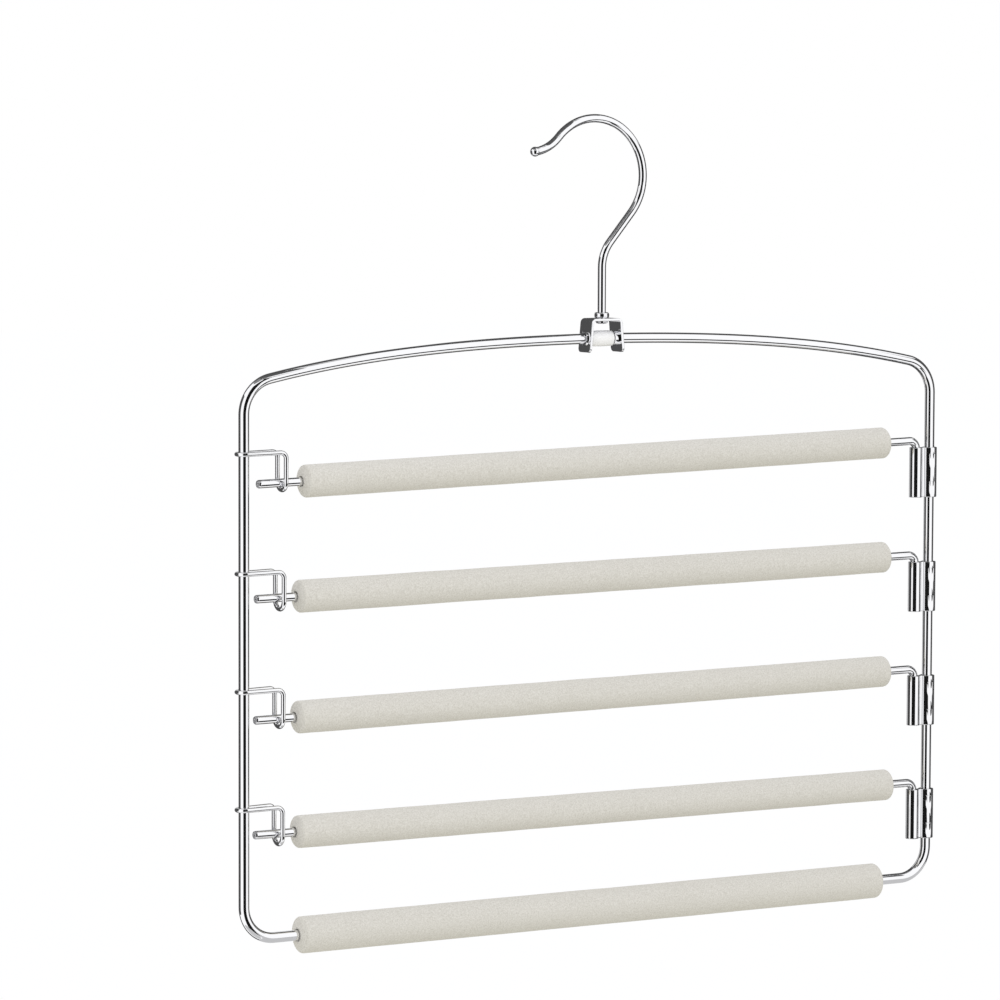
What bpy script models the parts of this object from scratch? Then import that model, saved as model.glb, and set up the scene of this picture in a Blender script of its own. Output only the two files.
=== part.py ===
"""Multi-tier trouser hanger: a bent wire frame on a swivelling hook, with swing-out padded arms.

Metres, +Z up. X runs along the arms towards the hinges, Y runs from the front of the hanger to its back.
The origin is the inside top of the hook, where the hanger rests on a wardrobe rail.
"""

import math

import bmesh
import bpy
from mathutils import Matrix, Vector

# Clearances between neighbouring pieces
GAP = 0.0003
WELD_GAP = 0.00015

# Hook
HOOK_WIRE = 0.0040
BOWL_RADIUS = 0.0275
BOWL_SIDE_STEP = 0.0045
BOWL_END_ANGLE = math.radians(138)
TIP_RADIUS = 0.0210
TIP_TURN = math.radians(41)
TIP_SWELL = 0.0007
NECK_LEAN = math.radians(40.5)
NECK_RADIUS = 0.0187
SHANK_RUN = 0.0243
RIVET_LIP = 0.0009
RIVET_HEIGHT = 0.0013
RIVET_EDGE = 0.0003

# Collar that holds the shank up on the saddle
COLLAR_WALL = 0.00155
COLLAR_HEIGHT = 0.0027
COLLAR_LAND = 0.0009

# Saddle: a strip bent over the top wire
SADDLE_SHEET = 0.00125
SADDLE_TOP_WIDTH = 0.0172
SADDLE_FOOT_WIDTH = 0.0200
SADDLE_HEIGHT = 0.0163
SADDLE_DEPTH = 0.0106
SADDLE_BEND = 0.0017
SADDLE_FOOT_ROUND = 0.0020
SADDLE_TO_WIRE = 0.0097
HOLE_RIM_WIDTH = 0.0009
HOLE_RIM_RISE = 0.0006
BUSH_WALL = 0.0009
BUSH_EDGE = 0.00035

# Frame: one closed loop of wire
FRAME_WIRE = 0.0050
FRAME_WIDTH = 0.3900
ARCH_DROP = 0.0177
ARCH_SQUARENESS = 0.29
SHOULDER_RADIUS = 0.0168
BOTTOM_RADIUS = 0.0155

# Tiers of arms, from the top one down
FIRST_TIER_DROP = 0.0553
TIER_PITCH = 0.0575
ARM_DROP = (0.0079, 0.0039, 0.0029, -0.0008)

# Arms: a straight rod, bent down into its pin
ARM_WIRE = 0.0040
ELBOW_RADIUS = 0.0040
RIM_GAP_SHARE = 2 / 3
STUB_PAST_CATCH = 0.0129

# Hinge clips: a strip folded round the upright, its two ends rolled round the pin
CLIP_SHEET = 0.0010
CLIP_HEIGHT = 0.0250
CLIP_WEB = 0.0009
CLIP_BEND = 0.0009
CLIP_EDGE = 0.0004
CLIP_TO_CORNER = 0.0041
PIN_RECESS = 0.0008
CRIMP_HEIGHT = 0.0073
CRIMP_RAMP = 0.0006
CRIMP_TO_TOP = 0.0028
CRIMP_TO_BOTTOM = 0.0003
CRIMP_SIDE = math.radians(257)
CRIMP_SPREAD = math.radians(24)
SEAM_SIDE = math.radians(197)
SEAM_GAP = 0.0004

# Catches: wire stirrups that hold the free ends of the arms, set by hand on each tier
CATCH_WIRE = 0.0022
STUB_GAP = 0.0011
CATCH_REACH = (0.0200, 0.0189, 0.0185, 0.0182)
CATCH_HANG = (0.0003, 0.0023, 0.0007, 0.0019)
CATCH_DEPTH = 0.0177
CATCH_RISE = 0.0004
CATCH_BEND = 0.0028

# Foam sleeves, cut and slid on by hand
ARM_FOAM_WALL = 0.00575
FRAME_FOAM_WALL = 0.00625
FOAM_END_ROUND = 0.0006
FOAM_END_DISH = 0.0008
SLEEVE_TO_PIN = (0.0206, 0.0197, 0.0193, 0.0171)
SLEEVE_TO_CATCH = (0.0120, 0.0102, 0.0100, 0.0103)
SLEEVE_TO_CORNERS = (0.0146, 0.0162)

# Facets
ARC_SAG = 0.0001
WIDEST_STEP = math.radians(24)
WIRE_BEVEL_STEPS = 4
CATCH_BEVEL_STEPS = 2
FOAM_SIDES = 24
FOAM_END_STEPS = 3
RING_SIDES = 20
ARCH_STEPS = 16
BALL_STEPS = 5
BALL_POLE = math.radians(88)
SADDLE_FOOT_STEPS = 4
SHARP_ANGLE = math.radians(40)

# Places that follow from the sizes above
FRONT_TO_BACK = Vector((0, 1, 0))
TIERS = len(ARM_DROP)
SHANK_X = BOWL_SIDE_STEP
BOWL_Z = HOOK_WIRE / 2 - BOWL_RADIUS
NECK_FALL = (BOWL_RADIUS * math.cos(NECK_LEAN) - SHANK_X) / math.tan(NECK_LEAN)
NECK_Z = BOWL_Z - BOWL_RADIUS * math.sin(NECK_LEAN) - NECK_FALL
SADDLE_TOP_Z = NECK_Z - NECK_RADIUS * math.tan(NECK_LEAN / 2) - SHANK_RUN
CROWN_Z = SADDLE_TOP_Z - SADDLE_TO_WIRE
PIN_BORE = ARM_WIRE / 2 + GAP
ELBOW_INSIDE = ELBOW_RADIUS - ARM_WIRE / 2
RIM_CLEAR = ELBOW_INSIDE - GAP * RIM_GAP_SHARE
ELBOW_RISE = ELBOW_RADIUS - math.sqrt(RIM_CLEAR ** 2 - (ELBOW_INSIDE - GAP) ** 2)
LAST_TIER_RISE = BOTTOM_RADIUS + CLIP_TO_CORNER + CLIP_HEIGHT + ELBOW_RISE
BOTTOM_Z = CROWN_Z - FIRST_TIER_DROP - (TIERS - 1) * TIER_PITCH - LAST_TIER_RISE
LEFT_X = SHANK_X - FRAME_WIDTH / 2
RIGHT_X = SHANK_X + FRAME_WIDTH / 2
WELD_HALF = FRAME_WIRE / 2 + WELD_GAP + CATCH_WIRE / 2
CATCH_HALF = max(WELD_HALF, ARM_WIRE / 2 + STUB_GAP + CATCH_WIRE / 2)
BARREL_RADIUS = PIN_BORE + CLIP_SHEET / 2
WRAP_RADIUS = FRAME_WIRE / 2 + GAP + CLIP_SHEET / 2
WEB_OFFSET = (CLIP_SHEET + GAP) / 2


def valley_run(radius):
    """How far from a rolled barrel's axis its fillet meets the flat web."""
    return math.sqrt((radius + CLIP_BEND) ** 2 - (WEB_OFFSET + CLIP_BEND) ** 2)


PIN_TO_UPRIGHT = valley_run(BARREL_RADIUS) + CLIP_WEB + valley_run(WRAP_RADIUS)
PIN_X = RIGHT_X - PIN_TO_UPRIGHT


def clear_scene():
    for old in list(bpy.data.objects):
        bpy.data.objects.remove(old)


def make_material(name, colour, roughness, metallic):
    material = bpy.data.materials.new(name)
    material.use_nodes = True
    shader = material.node_tree.nodes["Principled BSDF"]
    shader.inputs["Base Color"].default_value = (*colour, 1)
    shader.inputs["Roughness"].default_value = roughness
    shader.inputs["Metallic"].default_value = metallic
    return material


def place(name, data, material, location, parent=None):
    """Links a new object whose origin is at location in the hanger's frame."""
    data.materials.append(material)
    made = bpy.data.objects.new(name, data)
    bpy.context.scene.collection.objects.link(made)
    made.location = location
    if parent:
        made.parent = parent
        made.location = Vector(location) - parent.location
    return made


def make_empty(name, location):
    made = bpy.data.objects.new(name, None)
    made.empty_display_size = 0.01
    bpy.context.scene.collection.objects.link(made)
    made.location = location
    return made


def arc(centre, start, axis, angle):
    """Points from start, turned about an axis through centre by angle, both ends included."""
    spoke = Vector(start) - Vector(centre)
    widest = min(WIDEST_STEP, 2 * math.acos(1 - ARC_SAG / spoke.length))
    steps = max(2, math.ceil(abs(angle) / widest))
    turned = []
    for step in range(steps + 1):
        turned.append(Vector(centre) + Matrix.Rotation(angle * step / steps, 3, axis) @ spoke)
    return turned


def rounded_path(corners, closed=False):
    """Straight runs between corners, each a point and the radius of the arc that rounds it."""
    path = []
    last = len(corners) - 1
    for number, (point, radius) in enumerate(corners):
        point = Vector(point)
        if not closed and number in (0, last):
            path.append(point)
            continue
        into = (point - Vector(corners[number - 1][0])).normalized()
        out = (Vector(corners[(number + 1) % len(corners)][0]) - point).normalized()
        turn = into.angle(out)
        start = point - into * radius * math.tan(turn / 2)
        inward = (out - into * into.dot(out)).normalized()
        path += arc(start + inward * radius, start, into.cross(out), turn)
    return path


def make_wire(name, path, diameter, material, location, parent=None, closed=False, swell=None,
              bevel_steps=WIRE_BEVEL_STEPS):
    """A round wire along path. swell gives the share of the diameter at each point."""
    curve = bpy.data.curves.new(name, "CURVE")
    curve.dimensions = "3D"
    curve.bevel_depth = diameter / 2
    curve.bevel_resolution = bevel_steps
    curve.use_fill_caps = True
    spline = curve.splines.new("POLY")
    spline.points.add(len(path) - 1)
    for number, point in enumerate(path):
        spline.points[number].co = (*(Vector(point) - Vector(location)), 1)
        spline.points[number].radius = swell[number] if swell else 1
    spline.use_cyclic_u = closed
    spline.use_smooth = True
    return place(name, curve, material, location, parent)


def mesh_from(bm, name):
    """Closes a bmesh into smooth-shaded mesh data with its faces pointing out."""
    bmesh.ops.recalc_face_normals(bm, faces=bm.faces)
    data = bpy.data.meshes.new(name)
    bm.to_mesh(data)
    bm.free()
    data.shade_smooth()
    data.set_sharp_from_angle(angle=SHARP_ANGLE)
    return data


def turned_mesh(name, profile, axis, sides):
    """A ring turned about axis from a closed profile of (distance along the axis, radius) points."""
    axis = Vector(axis)
    across = axis.orthogonal().normalized()
    bm = bmesh.new()
    ring = [bm.verts.new(axis * along + across * radius) for along, radius in profile]
    edges = [bm.edges.new((ring[k - 1], ring[k])) for k in range(len(ring))]
    bmesh.ops.spin(bm, geom=ring + edges, cent=(0, 0, 0), axis=axis, angle=2 * math.pi,
                   steps=sides, use_merge=True, use_duplicate=False)
    return mesh_from(bm, name)


def strip_sides(path, thickness):
    """The left and right edges of a strip seen edge on, whose middle line is path."""
    left, right = [], []
    for number, point in enumerate(path):
        back = path[max(number - 1, 0)]
        ahead = path[min(number + 1, len(path) - 1)]
        into = (point - back).normalized()
        out = (ahead - point).normalized()
        along = (into + out).normalized()
        stretch = 1 / max(along.dot(into), along.dot(out))
        side = Vector((-along.y, along.x)) * thickness / 2 * stretch
        left.append(point + side)
        right.append(point - side)
    return left, right


def round_end(radius, edge):
    """Quarter-round profile points from an end face out to the full radius."""
    points = []
    for step in range(FOAM_END_STEPS + 1):
        angle = math.pi / 2 * step / FOAM_END_STEPS
        points.append((edge * (1 - math.cos(angle)), radius - edge * (1 - math.sin(angle))))
    return points


def foam_profile(length, bore, radius):
    """A sleeve's profile: bore, dished ends and well-rounded outer edges."""
    lip = bore + FOAM_END_DISH
    edge = min(FOAM_END_ROUND, radius - lip - GAP)
    left = [(FOAM_END_DISH, bore), (0, lip)] + round_end(radius, edge)
    right = [(length - along, size) for along, size in left]
    return left + right[::-1]


def make_sleeve(name, wire, wall, low, high, tilt, material, parent=None):
    """A foam tube on a wire, from low to high, turned by tilt about Y."""
    bore = wire / 2 + GAP
    data = turned_mesh(name, foam_profile((high - low).length, bore, wire / 2 + wall), (1, 0, 0), FOAM_SIDES)
    made = place(name, data, material, low, parent)
    made.rotation_euler.y = tilt
    return made


def hook_path():
    """The hook's middle line from its ball tip to the riveted end, with the swell at each point."""
    radius = HOOK_WIRE / 2
    bowl = Vector((0, 0, BOWL_Z))
    outward = Vector((math.cos(BOWL_END_ANGLE), 0, math.sin(BOWL_END_ANGLE)))
    bowl_end = bowl + outward * BOWL_RADIUS
    tip_centre = bowl_end + outward * TIP_RADIUS
    tip = arc(tip_centre, bowl_end, FRONT_TO_BACK, TIP_TURN)
    ball = tip[-1]
    tip_line = FRONT_TO_BACK.cross(ball - tip_centre).normalized()
    ball_radius = radius + TIP_SWELL / 2
    ball_end = -math.acos(radius / ball_radius)
    path, swell = [], []
    for step in range(BALL_STEPS + 1):
        angle = BALL_POLE + (ball_end - BALL_POLE) * step / BALL_STEPS
        path.append(ball + tip_line * ball_radius * math.sin(angle))
        swell.append(ball_radius * math.cos(angle) / radius)
    bent = tip[-2::-1] + arc(bowl, bowl_end, FRONT_TO_BACK, BOWL_END_ANGLE + NECK_LEAN)[1:]
    rivet_top = SADDLE_TOP_Z - SADDLE_SHEET - GAP
    shank_end = Vector((SHANK_X, 0, rivet_top + RIVET_EDGE))
    bent += rounded_path([(bent[-1], 0), ((SHANK_X, 0, NECK_Z), NECK_RADIUS), (shank_end, 0)])[1:]
    path += bent
    swell += [1] * len(bent)
    head = 1 + RIVET_LIP / radius
    for depth, size in ((0, head), (RIVET_HEIGHT - RIVET_EDGE, head), (RIVET_HEIGHT, 1)):
        path.append(Vector((SHANK_X, 0, rivet_top - depth)))
        swell.append(size)
    return path, swell


def make_hook(chrome):
    path, swell = hook_path()
    make_wire("hook", path, HOOK_WIRE, chrome, (SHANK_X, 0, SADDLE_TOP_Z), swell=swell)
    bore = HOOK_WIRE / 2 + GAP
    crest = bore + COLLAR_WALL
    shoulder_radius = bore + COLLAR_WALL / 2
    slope = (COLLAR_HEIGHT - COLLAR_LAND) / 2
    profile = [(0, bore), (0, shoulder_radius), (slope, crest), (COLLAR_HEIGHT - slope, crest),
               (COLLAR_HEIGHT, shoulder_radius), (COLLAR_HEIGHT, bore)]
    collar = turned_mesh("hook_collar", profile, (0, 0, 1), RING_SIDES)
    place("hook_collar", collar, chrome, (SHANK_X, 0, SADDLE_TOP_Z + GAP))


def make_cutter(name, target, operation, radius, length, axis, location):
    """A hidden cylinder that a Boolean on target reads."""
    profile = bmesh.new()
    turn = Vector((0, 0, 1)).rotation_difference(Vector(axis)).to_matrix().to_4x4()
    bmesh.ops.create_cone(profile, cap_ends=True, segments=RING_SIDES, radius1=radius, radius2=radius,
                          depth=length, matrix=turn)
    data = mesh_from(profile, name)
    made = bpy.data.objects.new(name, data)
    bpy.context.scene.collection.objects.link(made)
    made.location = location
    made.hide_render = True
    made.display_type = "WIRE"
    step = target.modifiers.new(name, "BOOLEAN")
    step.operation = operation
    step.solver = "EXACT"
    step.object = made


def make_saddle(chrome, white):
    """The strip over the top wire, its hole rims and the bush between its legs."""
    half_top = (SADDLE_TOP_WIDTH - SADDLE_SHEET) / 2
    half_foot = (SADDLE_FOOT_WIDTH - SADDLE_SHEET) / 2
    top = -SADDLE_SHEET / 2
    foot = -SADDLE_HEIGHT
    legs = [((-half_foot, 0, foot), 0), ((-half_top, 0, top), SADDLE_BEND),
            ((half_top, 0, top), SADDLE_BEND), ((half_foot, 0, foot), 0)]
    middle = [Vector((point.x, point.z)) for point in rounded_path(legs)]
    rise = (middle[1] - middle[0]).normalized() * SADDLE_FOOT_ROUND
    fall = (middle[-2] - middle[-1]).normalized() * SADDLE_FOOT_ROUND
    left_foot = [middle[0] + rise * step / SADDLE_FOOT_STEPS for step in range(SADDLE_FOOT_STEPS + 1)]
    right_foot = [middle[-1] + fall * step / SADDLE_FOOT_STEPS for step in range(SADDLE_FOOT_STEPS + 1)]
    path = left_foot + middle[1:-1] + right_foot[::-1]
    outer, inner = strip_sides(path, SADDLE_SHEET)
    bm = bmesh.new()
    sections = []
    for number, (out_point, in_point) in enumerate(zip(outer, inner)):
        from_foot = min(number, len(path) - 1 - number, SADDLE_FOOT_STEPS) / SADDLE_FOOT_STEPS
        half = SADDLE_DEPTH / 2 - SADDLE_FOOT_ROUND * (1 - math.sqrt(1 - (1 - from_foot) ** 2))
        corners = ((out_point, -half), (out_point, half), (in_point, half), (in_point, -half))
        sections.append([bm.verts.new((point.x, depth, point.y)) for point, depth in corners])
    for one, two in zip(sections, sections[1:]):
        for k in range(4):
            bm.faces.new((one[k - 1], one[k], two[k], two[k - 1]))
    bm.faces.new(sections[0])
    bm.faces.new(sections[-1])
    saddle = place("saddle", mesh_from(bm, "saddle"), chrome, (SHANK_X, 0, SADDLE_TOP_Z))
    slope = (half_foot - half_top) / (-foot)
    at_wire = half_top + slope * SADDLE_TO_WIRE
    wire_hole = FRAME_WIRE / 2 + GAP
    axle = (SHANK_X, 0, CROWN_Z)
    rim_face = at_wire + SADDLE_SHEET / 2 + HOLE_RIM_RISE + slope * (wire_hole + HOLE_RIM_WIDTH)
    for side in (-1, 1):
        rim_middle = at_wire + (rim_face - at_wire) / 2
        make_cutter(f"rim_{'left' if side < 0 else 'right'}", saddle, "UNION", wire_hole + HOLE_RIM_WIDTH,
                    rim_face - at_wire, (1, 0, 0), (SHANK_X + side * rim_middle, 0, CROWN_Z))
    make_cutter("wire_hole", saddle, "DIFFERENCE", wire_hole, SADDLE_FOOT_WIDTH * 2, (1, 0, 0), axle)
    make_cutter("shank_hole", saddle, "DIFFERENCE", HOOK_WIRE / 2 + GAP, SADDLE_SHEET * 4, (0, 0, 1),
                (SHANK_X, 0, SADDLE_TOP_Z))
    bush_radius = wire_hole + BUSH_WALL
    half_bush = at_wire - SADDLE_SHEET / 2 - slope * bush_radius - GAP
    lip = bush_radius - BUSH_EDGE
    half_body = half_bush - BUSH_EDGE
    profile = [(-half_bush, wire_hole), (-half_bush, lip), (-half_body, bush_radius),
               (half_body, bush_radius), (half_bush, lip), (half_bush, wire_hole)]
    place("saddle_bush", turned_mesh("saddle_bush", profile, (1, 0, 0), RING_SIDES), white, axle)


def arch_fall(across):
    """How far the top wire lies below its crown, and its slope, at a distance from the middle."""
    share = across / (FRAME_WIDTH / 2)
    fall = ARCH_DROP * ((1 - ARCH_SQUARENESS) * share ** 2 + ARCH_SQUARENESS * share ** 4)
    rate = ARCH_DROP * (2 * (1 - ARCH_SQUARENESS) * share + 4 * ARCH_SQUARENESS * share ** 3)
    return fall, rate / (FRAME_WIDTH / 2)


def shoulder():
    """Where the arch hands over to its shoulder arc, and that arc's centre, on the right side."""
    centre_x = FRAME_WIDTH / 2 - SHOULDER_RADIUS
    across = centre_x
    for _ in range(20):
        slope = math.atan(arch_fall(across)[1])
        across = centre_x + SHOULDER_RADIUS * math.sin(slope)
    meet = Vector((across, 0, -arch_fall(across)[0]))
    return meet, Vector((centre_x, 0, meet.z - SHOULDER_RADIUS * math.cos(slope))), slope


def make_frame(chrome):
    """One closed loop: arch, shoulders, uprights, bottom corners and bottom run."""
    meet, centre, slope = shoulder()
    crown = Vector((SHANK_X, 0, CROWN_Z))
    arch = []
    for step in range(ARCH_STEPS + 1):
        across = meet.x * (2 * step / ARCH_STEPS - 1)
        arch.append(crown + Vector((across, 0, -arch_fall(across)[0])))
    turn = math.pi / 2 - slope
    right = arc(crown + centre, crown + meet, FRONT_TO_BACK, turn)[1:]
    left_centre = crown + Vector((-centre.x, 0, centre.z))
    left = arc(left_centre, crown + Vector((-meet.x, 0, meet.z)), FRONT_TO_BACK, -turn)[1:]
    corners = [(right[-1], 0), ((RIGHT_X, 0, BOTTOM_Z), BOTTOM_RADIUS),
               ((LEFT_X, 0, BOTTOM_Z), BOTTOM_RADIUS), (left[-1], 0)]
    below = rounded_path(corners)[1:-1]
    path = arch + right + below + left[::-1]
    make_wire("frame", path, FRAME_WIRE, chrome, crown, closed=True)


def make_catch(number, catch_x, cradle_z, chrome):
    """A wire stirrup: round the upright, out along both sides, and down under the stub."""
    rail_z = cradle_z + CATCH_DEPTH
    weld_z = rail_z - CATCH_RISE
    back_x = LEFT_X - WELD_HALF
    corners = [
        ((catch_x, -CATCH_HALF, rail_z), CATCH_BEND),
        ((catch_x, -CATCH_HALF, cradle_z), CATCH_HALF),
        ((catch_x, CATCH_HALF, cradle_z), CATCH_HALF),
        ((catch_x, CATCH_HALF, rail_z), CATCH_BEND),
        ((back_x, WELD_HALF, weld_z), WELD_HALF),
        ((back_x, -WELD_HALF, weld_z), WELD_HALF),
    ]
    path = rounded_path(corners, closed=True)
    path = [point for k, point in enumerate(path) if (point - path[k - 1]).length > GAP / 10]
    make_wire(f"catch_{number}", path, CATCH_WIRE, chrome, (LEFT_X, 0, weld_z), closed=True,
              bevel_steps=CATCH_BEVEL_STEPS)


def clip_path():
    """The clip's strip seen from above, about the pin's axis: half the barrel, web, wrap, web and half the barrel."""
    up = Vector((0, 0, 1))
    wrap = Vector((PIN_TO_UPRIGHT, 0, 0))
    valley = WEB_OFFSET + CLIP_BEND
    near = Vector((valley_run(BARREL_RADIUS), -valley, 0))
    far = wrap - Vector((valley_run(WRAP_RADIUS), valley, 0))
    near_behind = Vector((near.x, valley, 0))
    far_behind = Vector((far.x, valley, 0))
    barrel_lead = math.atan2(valley, near.x)
    wrap_lead = math.atan2(valley, valley_run(WRAP_RADIUS))
    half_seam = SEAM_GAP / 2 / BARREL_RADIUS
    first = SEAM_SIDE + half_seam
    start = Vector((math.cos(first), math.sin(first), 0)) * BARREL_RADIUS
    path = arc((0, 0, 0), start, up, 2 * math.pi - barrel_lead - first)
    path += arc(near, path[-1], up, barrel_lead - math.pi / 2)[1:]
    path += arc(far, far + Vector((0, CLIP_BEND, 0)), up, wrap_lead - math.pi / 2)
    path += arc(wrap, path[-1], up, 2 * (math.pi - wrap_lead))[1:]
    path += arc(far_behind, path[-1], up, wrap_lead - math.pi / 2)[1:]
    path += arc(near_behind, near_behind - Vector((0, CLIP_BEND, 0)), up, barrel_lead - math.pi / 2)
    path += arc((0, 0, 0), path[-1], up, SEAM_SIDE - half_seam - barrel_lead)[1:]
    return [Vector((point.x, point.y)) for point in path]


def crimp_depth(point):
    """How deep the crimping jaws press a flat into the wrap's round outside at a point."""
    spoke = point - Vector((PIN_TO_UPRIGHT, 0))
    away = abs(math.atan2(spoke.y, spoke.x) % (2 * math.pi) - CRIMP_SIDE)
    on_wrap = point.x > PIN_TO_UPRIGHT - WRAP_RADIUS / 2
    if not on_wrap or away > CRIMP_SPREAD:
        return 0.0
    return spoke.length * (1 - math.cos(CRIMP_SPREAD) / math.cos(away))


def make_clip(number, top_z, chrome):
    """A strip folded round the upright, its ends rolled round the pin, with two crimps that grip the upright."""
    path = clip_path()
    inner, outer = strip_sides(path, CLIP_SHEET)
    low = -CLIP_HEIGHT
    levels = [(low, CLIP_EDGE, 0), (low + CLIP_EDGE, 0, 0)]
    for start in (low + CLIP_EDGE + CRIMP_TO_BOTTOM, -CLIP_EDGE - CRIMP_TO_TOP - CRIMP_HEIGHT):
        levels.append((start, 0, 0))
        levels.append((start + CRIMP_RAMP, 0, 1))
        levels.append((start + CRIMP_HEIGHT - CRIMP_RAMP, 0, 1))
        levels.append((start + CRIMP_HEIGHT, 0, 0))
    levels += [(-CLIP_EDGE, 0, 0), (0, CLIP_EDGE, 0)]
    bm = bmesh.new()
    skins = []
    for height, edge, press in levels:
        ring = []
        for in_point, out_point in zip(inner, outer):
            inset = (in_point - out_point).normalized() * (edge + press * crimp_depth(out_point))
            ring.append(bm.verts.new((*(out_point + inset), height)))
        skins.append(ring)
    bores = [[bm.verts.new((*point, height)) for point in inner] for height in (low, 0)]
    for one, two in list(zip(skins, skins[1:])) + [bores, (bores[0], skins[0]), (skins[-1], bores[1])]:
        for k in range(len(path) - 1):
            bm.faces.new((one[k], one[k + 1], two[k + 1], two[k]))
    for end in (0, -1):
        bm.faces.new([bores[0][end]] + [ring[end] for ring in skins] + [bores[1][end]])
    name = f"hinge_clip_{number}"
    place(name, mesh_from(bm, name), chrome, (PIN_X, 0, top_z))


def make_arm(number, elbow_z, drop, catch_x, chrome, foam):
    """A pin, the rod that is bent over it and the rod's foam sleeve, on a pivot on the pin's axis."""
    pivot = make_empty(f"arm_{number}_pivot", (PIN_X, 0, elbow_z))
    to_catch = math.hypot(PIN_X - catch_x, drop)
    tilt = math.atan2(drop, PIN_X - catch_x)
    along = Vector((-math.cos(tilt), 0, -math.sin(tilt)))
    corner = Vector((PIN_X, 0, elbow_z))
    pin_top = elbow_z - ELBOW_RADIUS
    stub_end = corner + along * (to_catch + STUB_PAST_CATCH)
    rod = rounded_path([(stub_end, 0), (corner, ELBOW_RADIUS), ((PIN_X, 0, pin_top - GAP), 0)])
    make_wire(f"arm_rod_{number}", rod, ARM_WIRE, chrome, corner, pivot)
    clip_bottom = elbow_z - ELBOW_RISE - CLIP_HEIGHT
    pin = [Vector((PIN_X, 0, pin_top - 2 * GAP)), Vector((PIN_X, 0, clip_bottom + PIN_RECESS))]
    make_wire(f"arm_pin_{number}", pin, ARM_WIRE, chrome, corner)
    low = corner + along * (to_catch - SLEEVE_TO_CATCH[number - 1])
    high = corner + along * SLEEVE_TO_PIN[number - 1]
    make_sleeve(f"arm_sleeve_{number}", ARM_WIRE, ARM_FOAM_WALL, low, high, -tilt, foam, pivot)


def main():
    clear_scene()
    chrome = make_material("chrome_wire", (0.80, 0.80, 0.82), 0.08, 1.0)
    sheet = make_material("chrome_sheet", (0.78, 0.78, 0.80), 0.10, 1.0)
    foam = make_material("foam", (0.66, 0.65, 0.61), 0.90, 0.0)
    white = make_material("white_nylon", (0.88, 0.88, 0.87), 0.35, 0.0)
    make_hook(chrome)
    make_saddle(sheet, white)
    make_frame(chrome)
    low = Vector((LEFT_X + BOTTOM_RADIUS + SLEEVE_TO_CORNERS[0], 0, BOTTOM_Z))
    high = Vector((RIGHT_X - BOTTOM_RADIUS - SLEEVE_TO_CORNERS[1], 0, BOTTOM_Z))
    make_sleeve("bottom_sleeve", FRAME_WIRE, FRAME_FOAM_WALL, low, high, 0, foam)
    for tier, (drop, reach, hang) in enumerate(zip(ARM_DROP, CATCH_REACH, CATCH_HANG)):
        number = tier + 1
        elbow_z = CROWN_Z - FIRST_TIER_DROP - tier * TIER_PITCH
        catch_x = LEFT_X + reach
        make_clip(number, elbow_z - ELBOW_RISE, sheet)
        make_catch(number, catch_x, elbow_z - drop - ARM_WIRE / 2 - hang - CATCH_WIRE / 2, chrome)
        make_arm(number, elbow_z, drop, catch_x, chrome, foam)


main()
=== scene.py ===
"""Looks of the multi-tier trouser hanger: fine wires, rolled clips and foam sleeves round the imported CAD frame.

Metres, in the CAD's frame: +X along the arms towards their hinges, +Y from front to back, +Z up, with the origin at
the inside top of the hook.
"""

import math

import bmesh
import bpy
from mathutils import Matrix, Vector, noise


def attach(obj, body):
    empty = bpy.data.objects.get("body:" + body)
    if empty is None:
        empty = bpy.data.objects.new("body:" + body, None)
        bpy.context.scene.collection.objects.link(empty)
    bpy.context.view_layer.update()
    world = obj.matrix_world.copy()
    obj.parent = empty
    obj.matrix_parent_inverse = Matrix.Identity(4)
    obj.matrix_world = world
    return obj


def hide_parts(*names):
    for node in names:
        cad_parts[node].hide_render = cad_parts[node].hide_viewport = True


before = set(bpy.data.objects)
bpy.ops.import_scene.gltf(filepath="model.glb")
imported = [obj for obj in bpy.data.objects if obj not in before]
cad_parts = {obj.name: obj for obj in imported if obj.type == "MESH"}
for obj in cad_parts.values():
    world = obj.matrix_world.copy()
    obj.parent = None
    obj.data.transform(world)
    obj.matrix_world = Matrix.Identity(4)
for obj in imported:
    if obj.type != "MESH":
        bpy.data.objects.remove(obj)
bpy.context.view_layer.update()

# Sizes of the CAD model
GAP = 0.0003
HOOK_WIRE = 0.0040
BOWL_RADIUS = 0.0275
BOWL_SIDE_STEP = 0.0045
BOWL_END_ANGLE = math.radians(138)
TIP_RADIUS = 0.0210
TIP_TURN = math.radians(41)
TIP_SWELL = 0.0007
NECK_LEAN = math.radians(40.5)
NECK_RADIUS = 0.0187
SHANK_RUN = 0.0243
RIVET_LIP = 0.0009
RIVET_HEIGHT = 0.0013
COLLAR_WALL = 0.00155
COLLAR_HEIGHT = 0.0027
SADDLE_SHEET = 0.00125
SADDLE_TOP_WIDTH = 0.0172
SADDLE_FOOT_WIDTH = 0.0200
SADDLE_HEIGHT = 0.0163
SADDLE_DEPTH = 0.0106
SADDLE_BEND = 0.0017
SADDLE_FOOT_ROUND = 0.0020
SADDLE_TO_WIRE = 0.0097
HOLE_RIM_WIDTH = 0.0009
HOLE_RIM_RISE = 0.0006
BUSH_WALL = 0.0009
FRAME_WIRE = 0.0050
FRAME_WIDTH = 0.3900
ARCH_DROP = 0.0177
ARCH_SQUARENESS = 0.29
SHOULDER_RADIUS = 0.0168
BOTTOM_RADIUS = 0.0155
FIRST_TIER_DROP = 0.0553
TIER_PITCH = 0.0575
ARM_DROP = (0.0079, 0.0039, 0.0029, -0.0008)
ARM_WIRE = 0.0040
ELBOW_RADIUS = 0.0040
RIM_GAP_SHARE = 2 / 3
STUB_PAST_CATCH = 0.0129
CLIP_SHEET = 0.0010
CLIP_HEIGHT = 0.0250
CLIP_WEB = 0.0009
CLIP_BEND = 0.0009
CLIP_TO_CORNER = 0.0041
PIN_RECESS = 0.0008
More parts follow.
